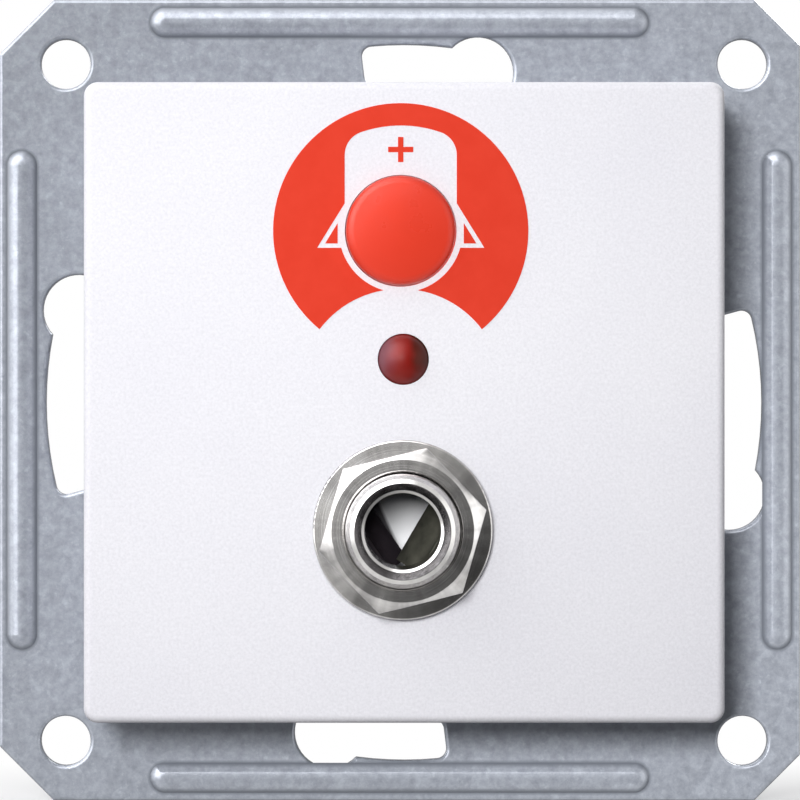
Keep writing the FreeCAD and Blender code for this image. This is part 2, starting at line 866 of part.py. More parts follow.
def chip_resistors():
    """Ceramic bodies of the chip resistors on the board's front."""
    length, height, width = chip_size
    solids = []
    for x, z in chip_places:
        solids.append(centred_block(x, z, length - 2 * chip_cap, width, board_front - height, board_front))
    return solids


def chip_ends():
    """Tinned end caps of the chip resistors."""
    length, height, width = chip_size
    solids = []
    for x, z in chip_places:
        for side in (-1, 1):
            middle = x + side * (length - chip_cap) / 2
            solids.append(centred_block(middle, z, chip_cap, width, board_front - height, board_front))
    return solids


# Terminal block
def terminal_block():
    front = board_rear + terminal_standoff
    body = block(-terminal_half, terminal_half, front, terminal_rear, terminal_low, terminal_high)
    slanted = []
    for edge in edges_at(body, terminal_rear):
        if edge.BoundBox.XLength > pole_pitch and edge.BoundBox.ZMin > terminal_low + 1:
            slanted.append(edge)
    body = body.makeChamfer(terminal_edge_cut, slanted)
    foot = terminal_standoff
    for side in (-1, 1):
        x = side * (terminal_half - foot / 2)
        middle = (terminal_low + terminal_high) / 2
        body = body.fuse(centred_block(x, middle, foot, terminal_high - terminal_low, board_rear, front))
    half_cage = cage_size / 2 + touch
    for x in terminal_pole_places():
        body = body.cut(block(
            x - half_cage, x + half_cage, wire_entry_y - half_cage, wire_entry_y + half_cage,
            cage_low - touch, terminal_high + over))
        body = body.cut(rod(
            x, clamp_screw_z, clamp_head_d + 2 * clamp_head_room, wire_entry_y, terminal_rear + over))
        body = body.cut(rod(x, clamp_screw_z, terminal_pin_d + 2 * touch, board_rear, wire_entry_y))
    return body.removeSplitter()


def clamp_cages():
    """Open square cages that draw the wires against the current bars."""
    solids = []
    half = cage_size / 2
    hollow = half - cage_wall
    for x in terminal_pole_places():
        cage = block(x - half, x + half, wire_entry_y - half, wire_entry_y + half, cage_low, cage_high)
        cage = cage.cut(block(
            x - hollow, x + hollow, wire_entry_y - hollow, wire_entry_y + hollow,
            cage_low + cage_wall, cage_high + over))
        cage = cage.cut(rod(
            x, clamp_screw_z, clamp_screw_d + 2 * touch, wire_entry_y, wire_entry_y + cage_size))
        solids.append(cage)
    return solids


def clamp_screws():
    """Slotted screws that face the rear."""
    solids = []
    seat = wire_entry_y + cage_size / 2 + touch
    for x in terminal_pole_places():
        head = rod(x, clamp_screw_z, clamp_head_d, seat, seat + clamp_head)
        slot = centred_block(
            x, clamp_screw_z, clamp_head_d + over, clamp_slot, seat + clamp_head / 2, seat + 2 * clamp_head)
        shank = rod(x, clamp_screw_z, clamp_screw_d, wire_entry_y, seat)
        solids.append(joined([head.cut(slot), shank]))
    return solids


def terminal_pins():
    solids = []
    for x in terminal_pole_places():
        solids.append(rod(
            x, clamp_screw_z, terminal_pin_d, board_front - pin_past_board,
            wire_entry_y - cage_size / 2 - touch))
    return solids


# Rear housing and screws
def rear_housing():
    """Cup behind the ring, with a deep well for the socket and a flange on the ring's front."""
    flange = rounded_block(
        0, 0, housing_flange, housing_flange, housing_flange_r, flange_front, ring_front)
    cup = rounded_block(0, 0, housing_size, housing_size, housing_corner_r, ring_front, housing_rear)
    low = -housing_size / 2
    well_x = well_half_width + housing_wall
    well = block(
        jack_x - well_x, jack_x + well_x, housing_floor, well_floor + housing_wall, low, well_top + housing_wall)
    well = well.makeFillet(housing_corner_r, lengthwise_edges(well))
    body = joined([flange, cup, well])

    body = body.cut(centred_block(
        0, 0, housing_inside, housing_inside, flange_front - over, housing_floor))
    body = body.cut(block(
        jack_x - well_half_width, jack_x + well_half_width, housing_floor - over, well_floor,
        low + housing_wall, well_top))
    post_rear = housing_floor + touch
    posts = []
    for x, z in corners(board_screw_x, board_screw_z):
        posts.append(rod(x, z, post_d, board_rear, post_rear))
    body = joined([body] + posts)
    for x, z in corners(board_screw_x, board_screw_z):
        body = body.cut(rod(
            x, z, screw_hole_d, board_front, board_front + screw_length + screw_hole_spare))
    gap = terminal_window_gap
    body = body.cut(block(
        -terminal_half - gap, terminal_half + gap, housing_floor - over, housing_rear + over,
        terminal_low - gap, terminal_high + gap))
    for x, z in corners(flange_screw_x, flange_screw_z):
        body = body.cut(rod(x, z, screw_hole_d + screw_clearance, flange_front - over, ring_front + over))
    notch_inner = leg_inner - leg_room
    notch_height = leg_width + 2 * leg_room
    for side in (-1, 1):
        edges = sorted((side * notch_inner, side * (housing_flange / 2 + over)))
        for z in (-leg_spread, leg_spread):
            body = body.cut(block(
                edges[0], edges[1], flange_front - over, ring_front + over,
                z - notch_height / 2, z + notch_height / 2))
    return body.removeSplitter()


def machine_screw(x, z, seat):
    head = rod(x, z, screw_head_d, seat - screw_head, seat)
    head = head.makeFillet(screw_head / 3, edges_at(head, seat - screw_head))
    recess = screw_head_d * 2 / 3
    for width, height in ((recess, screw_slot), (screw_slot, recess)):
        head = head.cut(centred_block(x, z, width, height, seat - 2 * screw_head, seat - screw_head / 2))
    return joined([head, rod(x, z, screw_d, seat, seat + screw_length)])


def machine_screws():
    solids = []
    for x, z in corners(flange_screw_x, flange_screw_z):
        solids.append(machine_screw(x, z, flange_front))
    for x, z in corners(board_screw_x, board_screw_z):
        solids.append(machine_screw(x, z, board_front))
    return solids


os.makedirs("parts", exist_ok=True)

save("support_ring", support_ring())
save("cover_plate", cover_plate())
save_group("printed_sign", printed_sign())
save("call_button", call_button())
save("switch_plunger", switch_plunger())
save("moving_blade", moving_blade())
save("return_spring", return_spring())
save("switch_case", switch_case())
save("switch_base", switch_base())
save_group("switch_contacts", switch_contacts())
save("lamp_window", lamp_window())
save("lamp_diode", lamp_diode())
save_group("diode_leads", diode_leads())
save("jack_shell", jack_shell())
save("jack_washer", jack_washer())
save("jack_nut", jack_nut())
save("jack_body", jack_body())
save("ring_leaf", contact_leaf(ring_leaf_angle, ring_leaf_reach, ring_leaf_crest, ring_leaf_shift))
save("tip_leaf", contact_leaf(tip_leaf_angle, tip_leaf_reach, tip_leaf_crest, tip_leaf_shift))
save_group("link_wires", link_wires())
save("circuit_board", circuit_board())
save_group("chip_resistors", chip_resistors())
save_group("chip_ends", chip_ends())
save("terminal_block", terminal_block())
save_group("clamp_cages", clamp_cages())
save_group("clamp_screws", clamp_screws())
save_group("terminal_pins", terminal_pins())
save("rear_housing", rear_housing())
save_group("machine_screws", machine_screws())
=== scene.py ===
import math

import bpy
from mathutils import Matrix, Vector


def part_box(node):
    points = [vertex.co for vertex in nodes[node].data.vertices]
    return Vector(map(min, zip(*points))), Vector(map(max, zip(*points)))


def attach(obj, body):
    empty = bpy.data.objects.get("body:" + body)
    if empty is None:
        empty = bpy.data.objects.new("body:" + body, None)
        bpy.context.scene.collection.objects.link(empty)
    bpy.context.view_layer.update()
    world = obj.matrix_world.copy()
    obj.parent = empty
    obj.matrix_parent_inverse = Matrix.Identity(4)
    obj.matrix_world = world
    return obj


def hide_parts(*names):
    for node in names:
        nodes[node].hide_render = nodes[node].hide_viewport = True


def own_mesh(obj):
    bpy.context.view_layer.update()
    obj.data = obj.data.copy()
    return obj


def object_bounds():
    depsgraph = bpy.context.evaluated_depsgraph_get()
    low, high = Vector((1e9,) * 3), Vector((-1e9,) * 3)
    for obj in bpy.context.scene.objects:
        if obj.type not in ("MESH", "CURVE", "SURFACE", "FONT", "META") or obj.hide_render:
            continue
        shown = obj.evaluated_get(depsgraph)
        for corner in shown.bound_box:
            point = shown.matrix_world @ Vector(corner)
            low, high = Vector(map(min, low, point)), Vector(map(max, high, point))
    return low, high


# Looks of the flush-mounting nurse call insert. Metres, in the CAD frame:
# X right, Z up, the front faces -Y.

MM = 0.001

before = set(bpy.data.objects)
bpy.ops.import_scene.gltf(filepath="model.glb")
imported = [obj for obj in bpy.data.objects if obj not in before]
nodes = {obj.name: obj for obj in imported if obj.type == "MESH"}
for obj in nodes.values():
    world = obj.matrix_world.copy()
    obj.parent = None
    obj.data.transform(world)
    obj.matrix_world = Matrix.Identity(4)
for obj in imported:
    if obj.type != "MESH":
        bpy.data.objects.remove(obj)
cad_low, cad_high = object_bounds()
scene = bpy.context.scene

ring_low, ring_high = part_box("support_ring")
washer_low, washer_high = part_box("jack_washer")
window_low, window_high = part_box("lamp_window")
nose_tip_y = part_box("jack_shell")[0].y
jack_axis = (washer_low + washer_high) / 2

# Camera, square to the front. Blender gives the sensor and the lens in mm.
CAMERA_X = -0.36 * MM
CAMERA_Z = 0.21 * MM
CAMERA_DISTANCE = 286 * MM
RING_FRONT_DISTANCE = 285 * MM
VIEW_WIDTH_AT_RING = 70.87 * MM
CLIP_START = 10 * MM
SENSOR = 36.0

# Pressed beads along the support ring's four sides
BEAD_MARGIN = 2.05 * MM
BEAD_END_MARGIN = 13.4 * MM
BEAD_WIDTH = 2.65 * MM
BEAD_FOOT = 1.3 * MM

# The middle stretch of a noise texture's values, which the looks are spread over
NOISE_LOW = 0.3
NOISE_HIGH = 0.7


def srgb(red, green, blue):
    """Linear colour from 0-255 display values."""
    channels = []
    for value in (red, green, blue):
        value = value / 255
        if value <= 0.04045:
            channels.append(value / 12.92)
        else:
            channels.append(((value + 0.055) / 1.055) ** 2.4)
    return (*channels, 1.0)


def grey(level):
    """Linear grey, also used as a factor on a colour."""
    return (level, level, level, 1.0)


NICKEL = srgb(214, 211, 210)
BUTTON_RED = srgb(229, 62, 40)

# Scale, detail and roughness of the plate's moulded grain, which the print follows
PLATE_GRAIN = (2600, 2.5, 0.55)


class Tree:
    """A material's node tree with short calls for the nodes used here."""

    def __init__(self, name, colour, roughness, metallic=0.0, specular=0.5):
        self.material = bpy.data.materials.new(name)
        self.material.use_nodes = True
        self.tree = self.material.node_tree
        self.shader = self.tree.nodes["Principled BSDF"]
        self.set("Base Color", colour)
        self.set("Roughness", roughness)
        self.set("Metallic", metallic)
        self.set("Specular IOR Level", specular)
        self.material.diffuse_color = colour
        self.coords = self.node("ShaderNodeTexCoord").outputs["Object"]

    def node(self, kind, **settings):
        made = self.tree.nodes.new(kind)
        for key, value in settings.items():
            setattr(made, key, value)
        return made

    def link(self, source, target):
        self.tree.links.new(source, target)

    def set(self, socket, value):
        self.shader.inputs[socket].default_value = value

    def feed(self, socket, source):
        self.link(source, self.shader.inputs[socket])

    def noise(self, scale, detail=2.0, roughness=0.5, coords=None):
        texture = self.node("ShaderNodeTexNoise")
        texture.inputs["Scale"].default_value = scale
        texture.inputs["Detail"].default_value = detail
        texture.inputs["Roughness"].default_value = roughness
        self.link(coords or self.coords, texture.inputs["Vector"])
        return texture.outputs["Fac"]

    def cells(self, scale):
        texture = self.node("ShaderNodeTexVoronoi")
        texture.inputs["Scale"].default_value = scale
        self.link(self.coords, texture.inputs["Vector"])
        return texture.outputs["Color"]

    def ramp(self, source, low, high, at_low, at_high):
        """Maps low..high of the source onto two values or two colours."""
        if isinstance(at_low, tuple):
            return self.gradient(source, ((low, at_low), (high, at_high)))
        made = self.node("ShaderNodeMapRange")
        made.inputs["From Min"].default_value = low
        made.inputs["From Max"].default_value = high
        made.inputs["To Min"].default_value = at_low
        made.inputs["To Max"].default_value = at_high
        self.link(source, made.inputs["Value"])
        return made.outputs["Result"]

    def spread(self, source, at_low, at_high):
        """Spreads two values or two colours over a noise texture's middle stretch."""
        return self.ramp(source, NOISE_LOW, NOISE_HIGH, at_low, at_high)

    def gradient(self, source, stops):
        """Colours at places from 0 to 1 of the source."""
        made = self.node("ShaderNodeValToRGB")
        elements = made.color_ramp.elements
        for element, (place, colour) in zip(elements, (stops[0], stops[-1])):
            element.position = place
            element.color = colour
        for place, colour in stops[1:-1]:
            elements.new(place).color = colour
        self.link(source, made.inputs["Fac"])
        return made.outputs["Color"]

    def math(self, operation, first, second=0.0):
        made = self.node("ShaderNodeMath", operation=operation)
        for socket, value in zip(made.inputs, (first, second)):
            if isinstance(value, (int, float)):
                socket.default_value = value
            else:
                self.link(value, socket)
        return made.outputs["Value"]

    def mix(self, factor, first, second, blend="MIX"):
        made = self.node("ShaderNodeMix", data_type="RGBA", blend_type=blend)
        sockets = [socket for socket in made.inputs if socket.enabled]
        for socket, value in zip(sockets, (factor, first, second)):
            if isinstance(value, (int, float, tuple)):
                socket.default_value = value
            else:
                self.link(value, socket)
        return [socket for socket in made.outputs if socket.enabled][0]

    def times(self, first, second):
        return self.mix(1.0, first, second, "MULTIPLY")

    def bump(self, height, distance, strength=1.0, after=None):
        made = self.node("ShaderNodeBump")
        made.inputs["Distance"].default_value = distance
        made.inputs["Strength"].default_value = strength
        self.link(height, made.inputs["Height"])
        if after:
            self.link(after, made.inputs["Normal"])
        self.feed("Normal", made.outputs["Normal"])
        return made.outputs["Normal"]

    def split(self):
        """The X, Y and Z of the place on the surface."""
        made = self.node("ShaderNodeSeparateXYZ")
        self.link(self.coords, made.inputs["Vector"])
        return made.outputs

    def off_axis(self, centre):
        """Where the place lies off an axis along Y through the centre."""
        moved = self.node("ShaderNodeVectorMath", operation="SUBTRACT")
        moved.inputs[1].default_value = (centre.x, 0, centre.z)
        self.link(self.coords, moved.inputs[0])
        flat = self.node("ShaderNodeVectorMath", operation="MULTIPLY")
        flat.inputs[1].default_value = (1, 0, 1)
        self.link(moved.outputs["Vector"], flat.inputs[0])
        return flat.outputs["Vector"]

    def sectors(self, centre, fineness):
        """Noise that varies only round an axis along Y through the centre."""
        unit = self.node("ShaderNodeVectorMath", operation="NORMALIZE")
        self.link(self.off_axis(centre), unit.inputs[0])
        return self.noise(fineness, 3, 0.6, unit.outputs["Vector"])

    def radius(self, centre):
        """Distance from an axis along Y through the centre."""
        length = self.node("ShaderNodeVectorMath", operation="LENGTH")
        self.link(self.off_axis(centre), length.inputs[0])
        return length.outputs["Value"]


def bead_distance(made):
    """Distance from the nearest bead's centre line, which ends where its round ends begin."""
    centre = (ring_low + ring_high) / 2
    half_ring = (ring_high.x - ring_low.x) / 2
    line = half_ring - BEAD_MARGIN
    half_straight = half_ring - BEAD_END_MARGIN - BEAD_WIDTH / 2
    place = made.split()
    across = made.math("ABSOLUTE", made.math("SUBTRACT", place["X"], centre.x))
    upward = made.math("ABSOLUTE", made.math("SUBTRACT", place["Z"], centre.z))
    distances = []
    for aside, along in ((across, upward), (upward, across)):
        off_line = made.math("POWER", made.math("ABSOLUTE", made.math("SUBTRACT", aside, line)), 2.0)
        past_end = made.math("MAXIMUM", made.math("SUBTRACT", along, half_straight), 0.0)
        distances.append(made.math("SQRT", made.math("ADD", off_line, made.math("POWER", past_end, 2.0))))
    return made.math("MINIMUM", *distances)


def painted_bead_shade(made):
    """Where shade is painted: 1 along the foot of a bead, fading up its flank and out over the flat sheet."""
    distance = bead_distance(made)
    flank = made.ramp(distance, BEAD_FOOT - 0.42 * MM, BEAD_FOOT - 0.05 * MM, 0.0, 1.0)
    flat = made.ramp(distance, BEAD_FOOT + 0.02 * MM, BEAD_FOOT + 0.30 * MM, 1.0, 0.0)
    return made.math("MINIMUM", flank, flat)


def plated_sheet():
    """Zinc-plated sheet: cloudy blue-grey with small pale flakes and fine marks, with painted shade along the
    bead feet.
    """
    made = Tree("zinc_sheet", srgb(166, 171, 181), 0.19, metallic=0.18)
    clouds = made.spread(made.noise(1150, 5, 0.74), srgb(151, 156, 166), srgb(184, 189, 199))
    flakes = made.ramp(made.cells(900), 0.0, 1.0, grey(0.92), grey(1.06))
    specks = made.ramp(made.noise(1700, 3, 0.6), 0.6, 0.74, grey(1.0), (1.2, 1.2, 1.19, 1.0))
    tone = made.times(made.times(clouds, flakes), specks)
    # Painted shade along the bead feet and up their flanks, a darker grey over the sheet's tone
    made.feed("Base Color", made.mix(painted_bead_shade(made), tone, srgb(127, 132, 141)))
    made.feed("Roughness", made.spread(made.noise(900, 3), 0.13, 0.21))
    made.bump(made.noise(1400, 4, 0.65), 0.02 * MM, 0.5)
    return made.material


def plate_plastic():
    """White moulded plastic with a fine spark-eroded grain."""
    made = Tree("white_grained", srgb(243, 242, 247), 0.55, specular=0.3)
    clouds = made.spread(made.noise(60, 2), srgb(241, 240, 246), srgb(245, 244, 249))
    grain = made.spread(made.noise(4200, 2, 0.6), (0.925, 0.925, 0.928, 1.0), grey(1.035))
    made.feed("Base Color", made.times(clouds, grain))
    made.feed("Roughness", made.spread(made.noise(2500, 2), 0.5, 0.6))
    made.bump(made.noise(*PLATE_GRAIN), 0.03 * MM, 0.6)
    return made.material


def print_ink():
    """Red ink that follows the plate's grain."""
    made = Tree("red_print", srgb(225, 65, 45), 0.6, specular=0.2)
    made.feed("Base Color", made.spread(made.noise(700, 2), srgb(223, 63, 43), srgb(227, 67, 47)))
    made.bump(made.noise(*PLATE_GRAIN), 0.02 * MM, 0.4)
    return made.material


def button_plastic():
    """Smooth red plastic with faint handling marks."""
    made = Tree("red_button_plastic", BUTTON_RED, 0.3, specular=0.4)
    made.feed("Base Color", made.spread(made.noise(220, 2), BUTTON_RED, srgb(230, 63, 41)))
    made.feed("Roughness", made.spread(made.noise(500, 3), 0.26, 0.35))
    made.bump(made.noise(900, 2), 0.01 * MM, 0.08)
    return made.material


def window_plastic():
    """Dark red plastic of the lamp window, cloudy inside, with a painted reflection on its left and painted
    shade on its right.
    """
    made = Tree("red_window_clear", srgb(160, 36, 30), 0.36, specular=0.16)
    made.set("Transmission Weight", 0.15)
    made.set("IOR", 1.49)
    centre = (window_low + window_high) / 2
    reach = 2.2 * MM
    place = made.split()
    wobble = made.spread(made.noise(450, 2), -0.25 * MM, 0.25 * MM)
    across = made.math("ADD", place["X"], wobble)
    upward = made.math("ADD", place["Z"], wobble)
    # Painted light across the window: a pale painted reflection on the left, red in the middle, painted shade
    # on the right
    painted_light_tones = made.gradient(made.ramp(across, centre.x - reach, centre.x + reach, 0.0, 1.0), (
        (0.12, srgb(136, 78, 88)), (0.36, srgb(150, 50, 46)), (0.58, srgb(146, 28, 20)),
        (0.74, srgb(88, 20, 3)), (0.92, srgb(80, 20, 2))))
    below = made.ramp(upward, centre.z - 2.0 * MM, centre.z - 0.3 * MM, 0.9, 0.0)
    made.feed("Base Color", made.mix(below, painted_light_tones, srgb(142, 30, 22)))
    made.bump(made.noise(700, 2), 0.01 * MM, 0.4)
    return made.material


def turned_nickel(name, roughness, groove, dish, shaded_inside=None):
    """Nickel over turned metal: rings left by the tool on a slightly dished face, with painted shade inside a
    radius.
    """
    made = Tree(name, NICKEL, roughness, metallic=1.0)
    made.set("Anisotropic", 0.6)
    tangent = made.node("ShaderNodeTangent", direction_type="RADIAL", axis="Y")
    made.feed("Tangent", tangent.outputs["Tangent"])
    radius = made.radius(jack_axis)
    turns = made.node("ShaderNodeCombineXYZ")
    made.link(radius, turns.inputs["X"])
    rings = made.noise(5200, 3, 0.7, turns.outputs["Vector"])
    broad = made.noise(900, 2, 0.6, turns.outputs["Vector"])
    turned = made.spread(broad, srgb(180, 178, 177), srgb(228, 226, 225))
    stained = made.spread(made.noise(420, 3, 0.6), srgb(176, 173, 170), srgb(232, 230, 229))
    streaks = made.ramp(made.sectors(jack_axis, 2.6), 0.36, 0.64, grey(0.7), (1.08, 1.08, 1.07, 1.0))
    tone = made.times(made.mix(0.5, turned, stained), streaks)
    if shaded_inside:
        # Painted shade inside the given radius, darkening the tone where the nut meets the nose
        edge = made.ramp(radius, shaded_inside, shaded_inside + 0.2 * MM, 0.0, 1.0)
        tone = made.times(tone, made.ramp(edge, 0.0, 1.0, grey(0.72), grey(1.0)))
    made.feed("Base Color", tone)
    made.feed("Roughness", made.spread(rings, roughness - 0.04, roughness + 0.06))
    face = made.bump(made.math("MULTIPLY", radius, -dish), 1.0)
    made.bump(rings, groove, 0.6, after=face)
    return made.material


def nose_nickel():
    """The same nickel on the nose, with light and shade painted in rings by radius: painted shade inside the
    bore, a painted highlight ring round it, painted shade over the countersink and a painted highlight on the
    rounded lip.
    """
    made = Tree("nickel_nose", NICKEL, 0.14, metallic=1.0)
    inner, bore, shade_start, lip, rim = (3.0 * MM, 3.26 * MM, 3.46 * MM, 4.10 * MM, 4.8 * MM)
    radius = made.radius(jack_axis)
    # Painted shade and painted highlights in rings: dark inside the bore, bright at its edge, darker over the
    # countersink, bright on the lip
    painted_bands = (
        (inner, srgb(120, 118, 120)), (bore, srgb(120, 118, 120)), (bore + 0.01 * MM, srgb(204, 202, 200)),
        (shade_start, srgb(198, 196, 195)), (shade_start + 0.06 * MM, srgb(172, 169, 171)),
        (lip - 0.04 * MM, srgb(180, 177, 179)), (lip + 0.04 * MM, srgb(226, 224, 222)),
        (rim, srgb(222, 220, 219)))
    stops = [((place - inner) / (rim - inner), colour) for place, colour in painted_bands]
    painted_light_tones = made.gradient(made.ramp(radius, inner, rim, 0.0, 1.0), stops)
    stains = made.spread(made.noise(600, 3, 0.6), (0.82, 0.82, 0.81, 1.0), grey(1.0))
    made.feed("Base Color", made.times(painted_light_tones, stains))
    made.feed("Roughness", made.spread(made.noise(1500, 3), 0.1, 0.2))
    past_lip = made.math("MAXIMUM", made.math("SUBTRACT", radius, lip), 0.0)
    made.bump(made.math("MULTIPLY", past_lip, -0.5), 1.0)
    return made.material


def bright_metal(name, low, high, roughness, grain=1200, metallic=1.0):
    """Plain bright metal with drawn or rolled marks."""
    made = Tree(name, high, roughness, metallic=metallic)
    marks = made.noise(grain, 3, 0.6)
    made.feed("Base Color", made.spread(marks, low, high))
    made.feed("Roughness", made.spread(marks, roughness - 0.08, roughness + 0.1))
    made.bump(marks, 0.01 * MM, 0.4)
    return made.material


def moulded(name, low, high, roughness, grain=1800, depth=0.02 * MM):
    """Moulded plastic: slight mottling and a fine surface grain."""
    made = Tree(name, high, roughness)
    made.feed("Base Color", made.spread(made.noise(180, 3), low, high))
    made.feed("Roughness", made.spread(made.noise(grain / 2, 2), roughness - 0.05, roughness + 0.06))
    made.bump(made.noise(grain, 2), depth, 0.5)
    return made.material


def insulator_nylon():
    """White nylon of the socket's body, with a painted shadow beside the left contact spring and painted
    shade at the bore's bottom.
    """
    made = Tree("white_insulator_nylon", srgb(238, 238, 240), 0.45)
    place = made.split()
    # The shade's edge runs up and to the left through this point, square to this direction
    edge_x, edge_z = (jack_axis.x - 2.17 * MM, jack_axis.z + 1.41 * MM)
    square_x, square_z = (0.911, 0.412)
    bottom_z = jack_axis.z - 2.1 * MM
    across = made.math("MULTIPLY", made.math("SUBTRACT", place["X"], edge_x), square_x)
    along = made.math("MULTIPLY", made.math("SUBTRACT", place["Z"], edge_z), square_z)
    leaf_shadow = made.ramp(made.math("ADD", across, along), -0.22 * MM, 0.12 * MM, 0.0, 1.0)
    bottom_shade = made.ramp(place["Z"], bottom_z - 0.6 * MM, bottom_z, 1.0, 0.0)
    mottled = made.spread(made.noise(180, 3), srgb(225, 226, 228), srgb(238, 238, 240))
    # Dark grey painted shadow beside the left contact spring and painted shade at the bore's bottom, over the
    # mottled nylon
    made.feed("Base Color", made.mix(made.math("MAXIMUM", leaf_shadow, bottom_shade), srgb(84, 82, 86), mottled))
    made.feed("Roughness", made.spread(made.noise(900, 2), 0.4, 0.51))
    made.bump(made.noise(1800, 2), 0.02 * MM, 0.5)
    return made.material


def board_laminate():
    """Green solder mask over a faint glass weave."""
    made = Tree("board_mask", srgb(28, 104, 58), 0.3)
    weave = made.node("ShaderNodeTexWave", wave_type="BANDS", bands_direction="X")
    weave.inputs["Scale"].default_value = 900
    weave.inputs["Distortion"].default_value = 2
    made.link(made.coords, weave.inputs["Vector"])
    made.feed("Base Color", made.ramp(weave.outputs["Fac"], 0.0, 1.0, srgb(24, 92, 50), srgb(34, 116, 66)))
    made.feed("Roughness", made.spread(made.noise(400, 2), 0.26, 0.38))
    made.bump(weave.outputs["Fac"], 0.01 * MM, 0.3)
    return made.material


def dress(names, material):
    for name in names:
        data = nodes[name].data
        data.materials.clear()
        data.materials.append(material)


def dress_all():
    dress(["support_ring"], plated_sheet())
    dress(["cover_plate"], plate_plastic())
    dress(["printed_sign"], print_ink())
    dress(["call_button"], button_plastic())
    dress(["lamp_window"], window_plastic())
    dress(["jack_washer"], turned_nickel("nickel_washer", 0.12, groove=0.02 * MM, dish=0.14))
    dress(["jack_nut"], turned_nickel("nickel_nut", 0.13, groove=0.015 * MM, dish=0.07, shaded_inside=5.1 * MM))
    dress(["jack_shell"], nose_nickel())
    dress(["jack_body"], insulator_nylon())
    # The contact leaves are coloured dark as painted shade inside the bore; the tip leaf's copy is darker
    # still, painted shade for the leaf turned away from the light
    dress(["ring_leaf"],
          bright_metal("leaf_metal", srgb(60, 60, 54), srgb(92, 91, 82), 0.4, 500, metallic=0.5))
    dress(["tip_leaf"],
          bright_metal("shaded_leaf_metal", srgb(40, 35, 40), srgb(56, 50, 55), 0.4, 500, metallic=0.5))
    dress(["return_spring", "clamp_cages", "clamp_screws", "machine_screws"],
          bright_metal("bright_zinc", srgb(160, 164, 170), srgb(200, 203, 208), 0.3))
    dress(["switch_contacts", "diode_leads", "link_wires", "chip_ends", "terminal_pins", "moving_blade"],
          bright_metal("tinned_copper", srgb(175, 175, 172), srgb(205, 205, 200), 0.25))
    dress(["switch_case", "switch_base"],
          moulded("black_moulded", srgb(22, 22, 24), srgb(34, 34, 37), 0.42))
    dress(["rear_housing"],
          moulded("grey_moulded", srgb(98, 101, 106), srgb(112, 115, 121), 0.5, 1500, 0.03 * MM))
    dress(["terminal_block"],
          moulded("light_moulded", srgb(176, 180, 182), srgb(190, 194, 196), 0.45))
    dress(["switch_plunger"],
          moulded("natural_moulded", srgb(222, 219, 206), srgb(234, 231, 220), 0.4))
    dress(["chip_resistors"], moulded("chip_glaze", srgb(26, 26, 30), srgb(40, 40, 46), 0.25))
    dress(["circuit_board"], board_laminate())
    dress(["lamp_diode"],
          moulded("red_cast_resin", srgb(176, 24, 18), srgb(196, 36, 28), 0.15, 900, 0.01 * MM))


def soften(name, width):
    """Welds a CAD node's split corners and rounds its sharp edges a little."""
    weld = nodes[name].modifiers.new("weld", "WELD")
    weld.merge_threshold = 0.001 * MM
    bevel = nodes[name].modifiers.new("bevel", "BEVEL")
    bevel.width = width
    bevel.segments = 2
    bevel.limit_method = "ANGLE"
    bevel.angle_limit = math.radians(30)
    bevel.harden_normals = True


def sweep(name, sections):
    """A closed solid through a row of equal loops of points."""
    count = len(sections[0])
    points = [point for section in sections for point in section]
    faces = [tuple(range(count)), tuple(reversed(range(len(points) - count, len(points))))]
    for row in range(len(sections) - 1):
        for step in range(count):
            here = row * count + step
            following = row * count + (step + 1) % count
            faces.append((here, here + count, following + count, following))
    mesh = bpy.data.meshes.new(name)
    mesh.from_pydata(points, [], faces)
    made = bpy.data.objects.new(name, mesh)
    scene.collection.objects.link(made)
    return made


def nose_thread():
    """The turns of thread that stand out between the nut and the nose's lip."""
    root_r = 4.66 * MM
    crest_r = 4.86 * MM
    pitch = 0.8 * MM
    half_root = 0.26 * MM
    half_crest = 0.05 * MM
    start = nose_tip_y + 0.52 * MM
    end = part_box("jack_nut")[0].y + 0.25 * MM
    steps_a_turn = 96
    fading_steps = 12
    least_height = 0.05
    count = int((end - start) / pitch * steps_a_turn)
    sections = []
    for step in range(count + 1):
        angle = 2 * math.pi * step / steps_a_turn
        y = start + pitch * step / steps_a_turn
        height = max(min(1.0, step / fading_steps, (count - step) / fading_steps), least_height)
        crest = root_r + (crest_r - root_r) * height
        profile = ((root_r, -half_root), (crest, -half_crest), (crest, half_crest), (root_r, half_root))
        sections.append([
            (jack_axis.x + radius * math.cos(angle), y + shift, jack_axis.z + radius * math.sin(angle))
            for radius, shift in profile])
    made = sweep("jack_thread", sections)
    made.data.materials.append(
        bright_metal("nickel_thread", srgb(134, 131, 131), srgb(186, 183, 182), 0.18, 1500))
    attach(made, "insert")


def return_coil():
    """The return spring, which shortens towards its seat as the button goes in."""
    made = bpy.data.objects.new("return_coil", nodes["return_spring"].data.copy())
    scene.collection.objects.link(made)
    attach(made, "insert")
    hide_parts("return_spring")
    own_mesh(made)


def front_camera():
    data = bpy.data.cameras.new("camera")
    data.sensor_width = SENSOR
    data.lens = SENSOR * RING_FRONT_DISTANCE / VIEW_WIDTH_AT_RING
    data.clip_start = CLIP_START
    made = bpy.data.objects.new("camera", data)
    made.location = (CAMERA_X, -CAMERA_DISTANCE, CAMERA_Z)
    made.rotation_euler = (math.radians(90), 0, 0)
    scene.collection.objects.link(made)
    scene.camera = made


def lamp(name, place, aim, size, power, mirrored=False):
    """Square white area lamp, which neither metal nor the camera shows unless it is mirrored."""
    data = bpy.data.lights.new(name, "AREA")
    data.shape = "SQUARE"
    data.size = size
    data.energy = power
    made = bpy.data.objects.new(name, data)
    made.location = place
    made.rotation_euler = (Vector(aim) - Vector(place)).to_track_quat("-Z", "Y").to_euler()
    made.visible_camera = mirrored
    made.visible_glossy = mirrored
    scene.collection.objects.link(made)
    return made


def group(name, objects):
    """A collection outside the scene, for light linking."""
    made = bpy.data.collections.new(name)
    for item in objects:
        made.objects.link(item)
    return made


